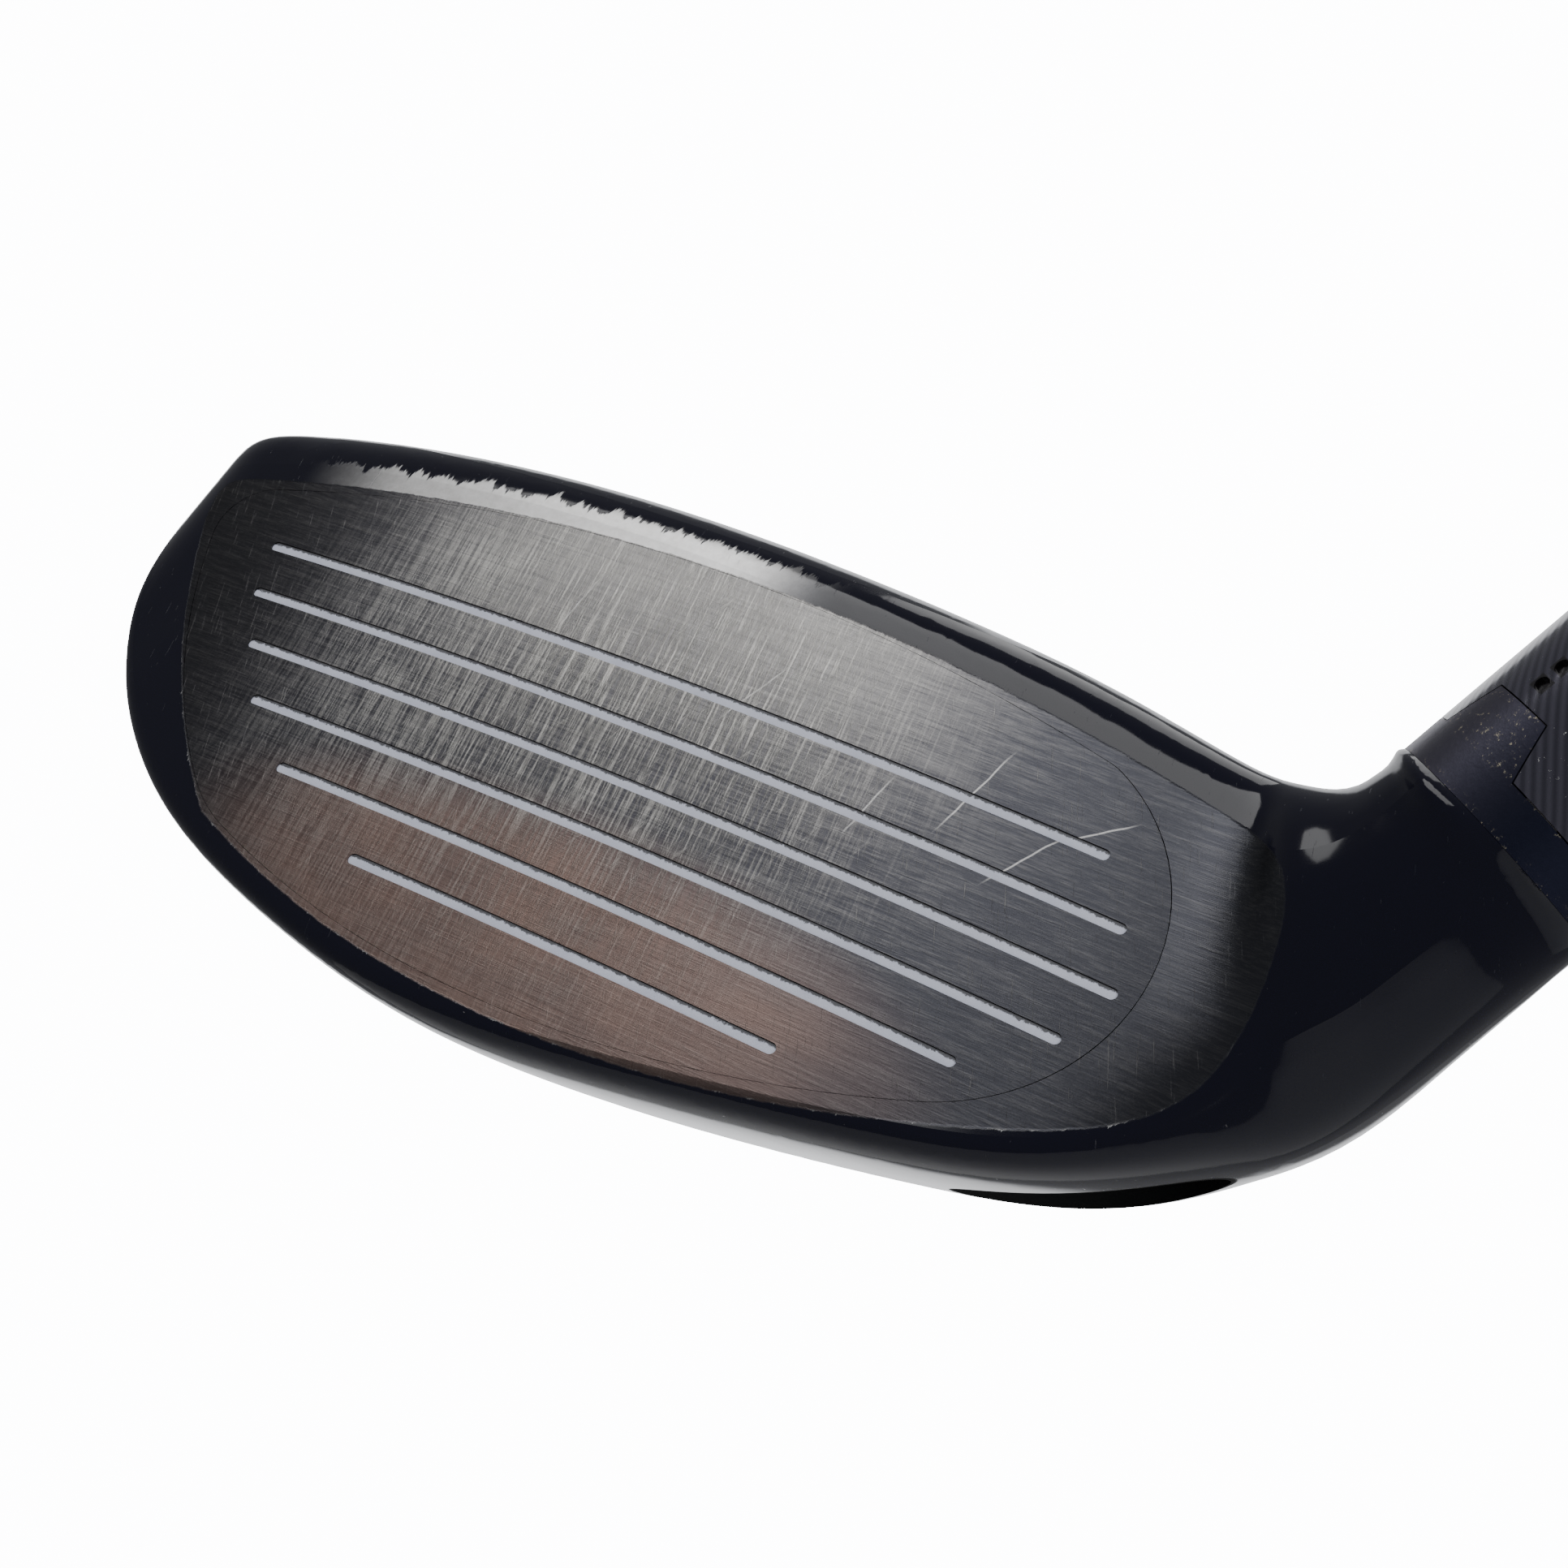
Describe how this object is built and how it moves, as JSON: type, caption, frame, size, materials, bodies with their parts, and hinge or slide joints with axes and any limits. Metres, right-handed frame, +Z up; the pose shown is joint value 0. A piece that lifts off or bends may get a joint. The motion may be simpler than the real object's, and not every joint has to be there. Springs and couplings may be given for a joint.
{
  "type": "hybrid golf club",
  "caption": "Right-handed adjustable hybrid golf club: hollow head with a grooved steel face, toothed hosel rings, tapered shaft and rubber grip.",
  "frame": {"origin": "where the shaft's axis meets the ground, with the club at address", "axes": "+Z up, +Y towards the back of the head, +X towards the player: the heel; the face looks along -Y and the toe points along -X"},
  "size_m": [0.5732, 0.0581, 0.9032],
  "materials": {
    "head_body": "gloss black, chipped along the edges",
    "crown_shell": "gloss black with fine scratches",
    "face_plate": "brushed, worn",
    "score_line_paint": "pale blue-white enamel, dirty",
    "sole_badge": "satin, blank",
    "sole_weight": "satin",
    "rattle_pad": "tacky",
    "lower_ring": "anodised grey-violet, satin",
    "upper_ring": "gloss, chipped",
    "adapter_sleeve": "bare",
    "shaft_bond": "epoxy",
    "hosel_screw": "bright",
    "screw_washer": "bright",
    "screw_retainer": "nylon",
    "ferrule": "gloss",
    "shaft": "clear-coated composite",
    "tip_plug": "matte",
    "grip_tape": "double-sided tape",
    "grip": "matte, patterned",
    "grip_cap": "matte"
  },
  "bodies": {
    "head": {"head_body": "head_body", "crown_shell": "crown_shell", "face_plate": "face_plate", "score_line_paint": "score_line_paint", "sole_badge": "sole_badge", "sole_weight": "sole_weight", "rattle_pad": "rattle_pad", "screw_washer": "screw_washer"},
    "shaft_assembly": {"adapter_sleeve": "adapter_sleeve", "upper_ring": "upper_ring", "shaft_bond": "shaft_bond", "ferrule": "ferrule", "shaft": "shaft", "tip_plug": "tip_plug", "grip_tape": "grip_tape", "grip": "grip", "grip_cap": "grip_cap"},
    "loft_ring": {"lower_ring": "lower_ring"},
    "screw": {"hosel_screw": "hosel_screw", "screw_retainer": "screw_retainer"}
  },
  "joints": [
    {"name": "shaft_lift", "type": "slide", "parent": "head", "child": "shaft_assembly", "axis": [0.4772, 0, 0.8788], "range_m": [0, 0.0072]},
    {"name": "ring_lift", "type": "slide", "parent": "head", "child": "loft_ring", "axis": [0.4772, 0, 0.8788], "range_m": [0, 0.0036]},
    {"name": "hosel_screw_turn", "type": "hinge", "parent": "head", "child": "screw", "pos_m": [0, 0, 0], "axis": [-0.4772, 0, -0.8788], "range_deg": [0, 3240]}
  ],
  "couplings": [
    {"joint": "ring_lift", "follows": "shaft_lift", "ratio": 0.5},
    {"joint": "hosel_screw_turn", "follows": "shaft_lift", "rad_per_m": 7854}
  ]
}
